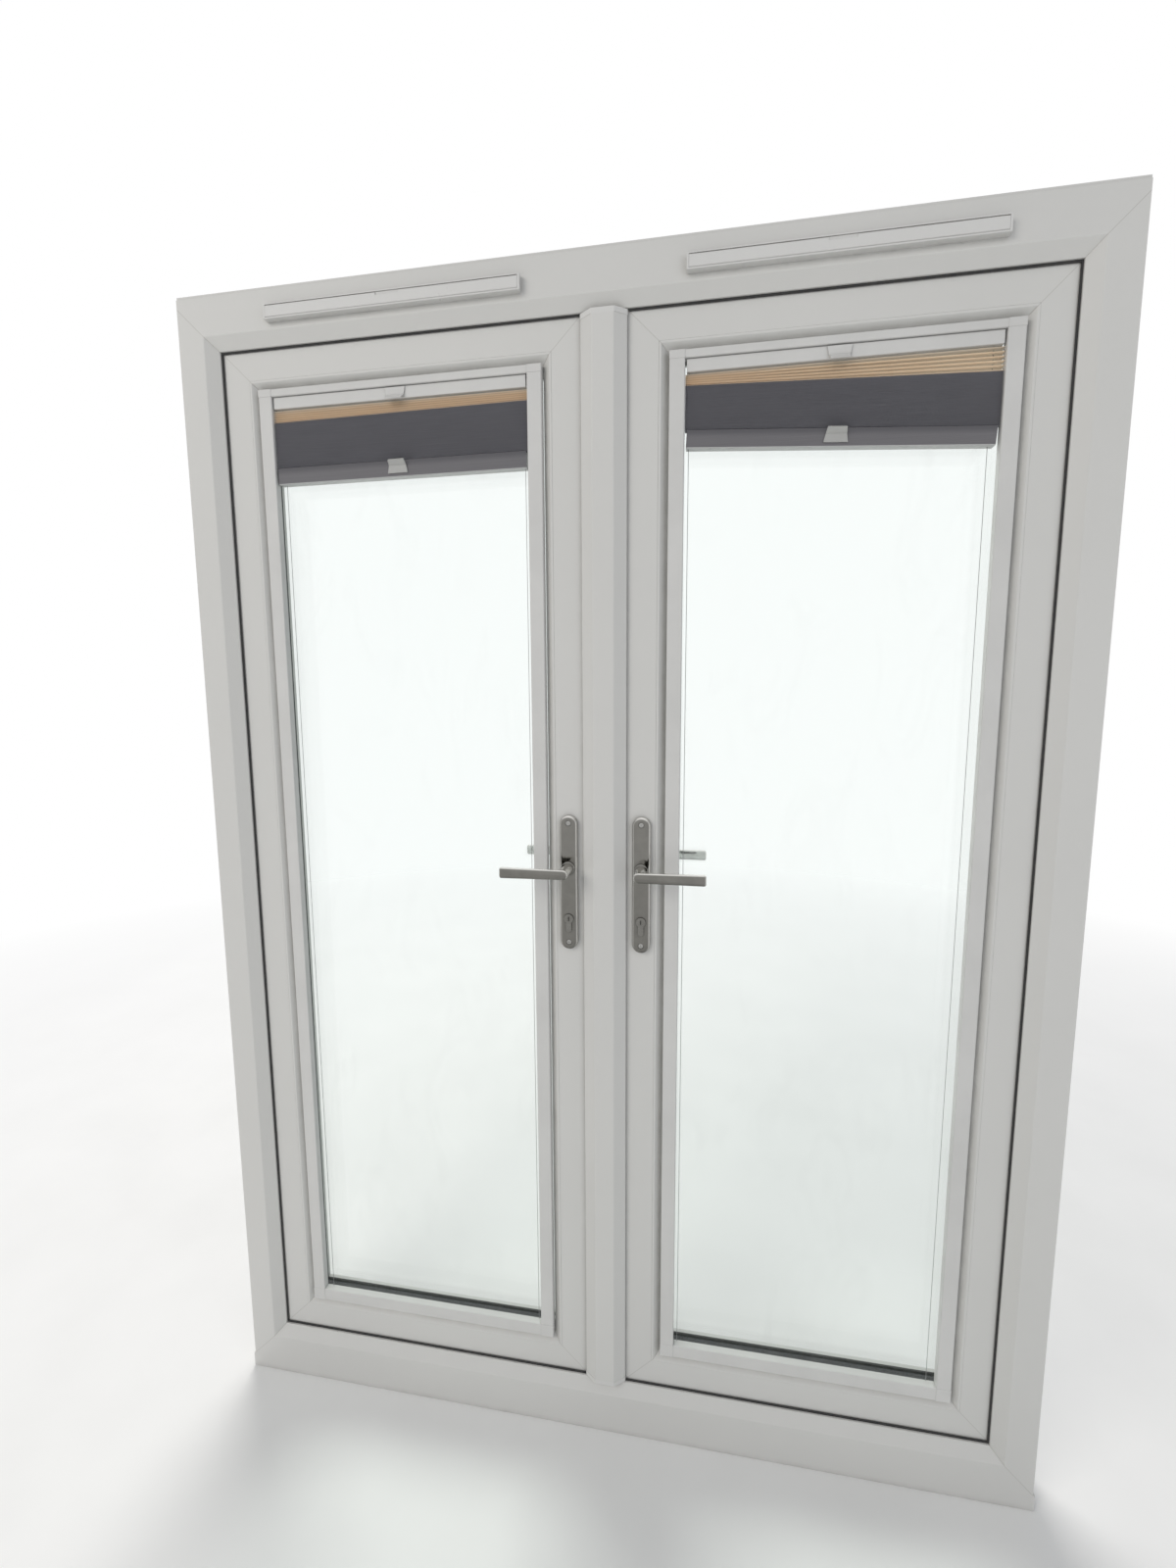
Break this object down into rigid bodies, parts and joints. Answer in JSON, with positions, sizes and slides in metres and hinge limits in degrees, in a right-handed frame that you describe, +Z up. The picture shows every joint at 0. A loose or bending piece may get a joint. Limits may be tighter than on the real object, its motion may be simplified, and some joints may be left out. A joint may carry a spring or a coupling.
{
  "type": "french doors",
  "caption": "White plastic-framed french doors: outward-opening double-glazed leaves with a floating mullion, chrome levers, lock gear and pleated blinds.",
  "frame": {"origin": "centre of the cill's underside, below the mid-plane of the leaves", "axes": "+X to the right and +Y outdoors as seen from the room, +Z up"},
  "size_m": [1.506, 0.194, 2.1],
  "materials": {
    "white_pvcu": "satin, faint extrusion lines",
    "white_cap": "moulded, semi gloss",
    "black_gasket": "matt",
    "white_hinge": "powder coated, semi gloss",
    "steel_gear": "zinc plated, dull",
    "clear_glass": "clear, polished",
    "dark_spacer": "matt",
    "packer_plastic": "matt",
    "chrome_handle": "polished",
    "satin_cylinder": "satin nickel",
    "white_blind": "powder coated, satin",
    "grey_rail": "powder coated, satin",
    "tan_fabric": "woven, pleated",
    "brass_bolt": "satin"
  },
  "bodies": {
    "frame": {"outer_frame": "white_pvcu", "head_extension": "white_pvcu", "cill": "white_pvcu", "cill_end_caps": "white_cap", "frame_gasket": "black_gasket", "drain_covers": "white_cap", "vent_bodies": "white_cap", "vent_canopies": "white_cap", "frame_hinges": "white_hinge", "hinge_pins": "steel_gear", "shootbolt_keeps": "steel_gear"},
    "left_vent": {"left_vent_flap": "white_cap"},
    "right_vent": {"right_vent_flap": "white_cap"},
    "right_leaf": {"right_sash": "white_pvcu", "right_glazing_beads": "white_pvcu", "right_inner_pane": "clear_glass", "right_outer_pane": "clear_glass", "right_spacer": "dark_spacer", "right_leaf_gaskets": "black_gasket", "right_glazing_packers": "packer_plastic", "right_leaf_hinges": "white_hinge", "right_inner_handle_plate": "chrome_handle", "right_outer_handle_plate": "chrome_handle", "right_lock_cylinder": "satin_cylinder", "right_lock_case": "steel_gear", "right_blind_frame": "white_blind"},
    "left_leaf": {"left_sash": "white_pvcu", "left_glazing_beads": "white_pvcu", "left_inner_pane": "clear_glass", "left_outer_pane": "clear_glass", "left_spacer": "dark_spacer", "left_leaf_gaskets": "black_gasket", "left_glazing_packers": "packer_plastic", "left_leaf_hinges": "white_hinge", "left_inner_handle_plate": "chrome_handle", "left_outer_handle_plate": "chrome_handle", "left_lock_cylinder": "satin_cylinder", "left_lock_case": "steel_gear", "left_blind_frame": "white_blind", "french_mullion": "white_pvcu", "mullion_end_caps": "white_cap", "mullion_gaskets": "black_gasket", "mullion_keeps": "steel_gear"},
    "right_lever_set": {"right_inner_lever": "chrome_handle", "right_outer_lever": "chrome_handle", "right_lever_spindle": "steel_gear"},
    "left_lever_set": {"left_inner_lever": "chrome_handle", "left_outer_lever": "chrome_handle", "left_lever_spindle": "steel_gear"},
    "right_bars": {"right_drive_bars": "steel_gear"},
    "right_latch": {"right_latch_bolt": "brass_bolt"},
    "right_bolt": {"right_dead_bolt": "steel_gear"},
    "left_upper_bolt": {"left_upper_shootbolt": "steel_gear"},
    "left_lower_bolt": {"left_lower_shootbolt": "steel_gear"},
    "left_top_rail": {"left_blind_upper_rail": "grey_rail", "left_blind_fabric": "tan_fabric"},
    "right_top_rail": {"right_blind_upper_rail": "grey_rail", "right_blind_fabric": "tan_fabric"},
    "left_bottom_rail": {"left_blind_bottom_rail": "grey_rail"},
    "right_bottom_rail": {"right_blind_bottom_rail": "grey_rail"}
  },
  "joints": [
    {"name": "right_leaf_hinge", "type": "hinge", "parent": "frame", "child": "right_leaf", "pos_m": [0.718, 0.045, 1.055], "axis": [0, 0, -1], "range_deg": [0, 100]},
    {"name": "left_leaf_hinge", "type": "hinge", "parent": "frame", "child": "left_leaf", "pos_m": [-0.718, 0.045, 1.055], "axis": [0, 0, 1], "range_deg": [0, 85]},
    {"name": "right_lever_turn", "type": "hinge", "parent": "right_leaf", "child": "right_lever_set", "pos_m": [0.064, 0, 1.109], "axis": [0, 1, 0], "range_deg": [-40, 35], "stiffness_Nm_per_rad": 4, "springref_deg": -4.87},
    {"name": "left_lever_turn", "type": "hinge", "parent": "left_leaf", "child": "left_lever_set", "pos_m": [-0.064, 0, 1.109], "axis": [0, -1, 0], "range_deg": [-40, 35], "stiffness_Nm_per_rad": 4, "springref_deg": -3.15},
    {"name": "right_bars_slide", "type": "slide", "parent": "right_leaf", "child": "right_bars", "axis": [0, 0, 1], "range_m": [-0.0175, 0.02]},
    {"name": "right_latch_slide", "type": "slide", "parent": "right_leaf", "child": "right_latch", "axis": [-1, 0, 0], "range_m": [0, 0.014]},
    {"name": "right_bolt_slide", "type": "slide", "parent": "right_leaf", "child": "right_bolt", "axis": [-1, 0, 0], "range_m": [0, 0.018]},
    {"name": "left_upper_bolt_slide", "type": "slide", "parent": "left_leaf", "child": "left_upper_bolt", "axis": [0, 0, 1], "range_m": [-0.0245, 0.028]},
    {"name": "left_lower_bolt_slide", "type": "slide", "parent": "left_leaf", "child": "left_lower_bolt", "axis": [0, 0, -1], "range_m": [-0.0245, 0.028]},
    {"name": "left_vent_turn", "type": "hinge", "parent": "frame", "child": "left_vent", "pos_m": [-0.35, -0.06475, 2.0473], "axis": [1, 0, 0], "range_deg": [0, 35]},
    {"name": "right_vent_turn", "type": "hinge", "parent": "frame", "child": "right_vent", "pos_m": [0.35, -0.06475, 2.0473], "axis": [1, 0, 0], "range_deg": [0, 35]},
    {"name": "left_top_rail_slide", "type": "slide", "parent": "left_leaf", "child": "left_top_rail", "axis": [0, 0, -1], "range_m": [0, 0.012]},
    {"name": "right_top_rail_slide", "type": "slide", "parent": "right_leaf", "child": "right_top_rail", "axis": [0, 0, -1], "range_m": [0, 0.012]},
    {"name": "left_bottom_rail_slide", "type": "slide", "parent": "left_leaf", "child": "left_bottom_rail", "axis": [0, 0, -1], "range_m": [0, 1.59], "deforming": ["left_blind_fabric"]},
    {"name": "right_bottom_rail_slide", "type": "slide", "parent": "right_leaf", "child": "right_bottom_rail", "axis": [0, 0, -1], "range_m": [0, 1.57], "deforming": ["right_blind_fabric"]}
  ],
  "couplings": [
    {"joint": "left_leaf_hinge", "follows": "right_leaf_hinge", "ratio": 0.85},
    {"joint": "right_bars_slide", "follows": "right_lever_turn", "m_per_rad": -0.0286},
    {"joint": "left_upper_bolt_slide", "follows": "left_lever_turn", "m_per_rad": -0.0401},
    {"joint": "left_lower_bolt_slide", "follows": "left_lever_turn", "m_per_rad": -0.0401}
  ]
}
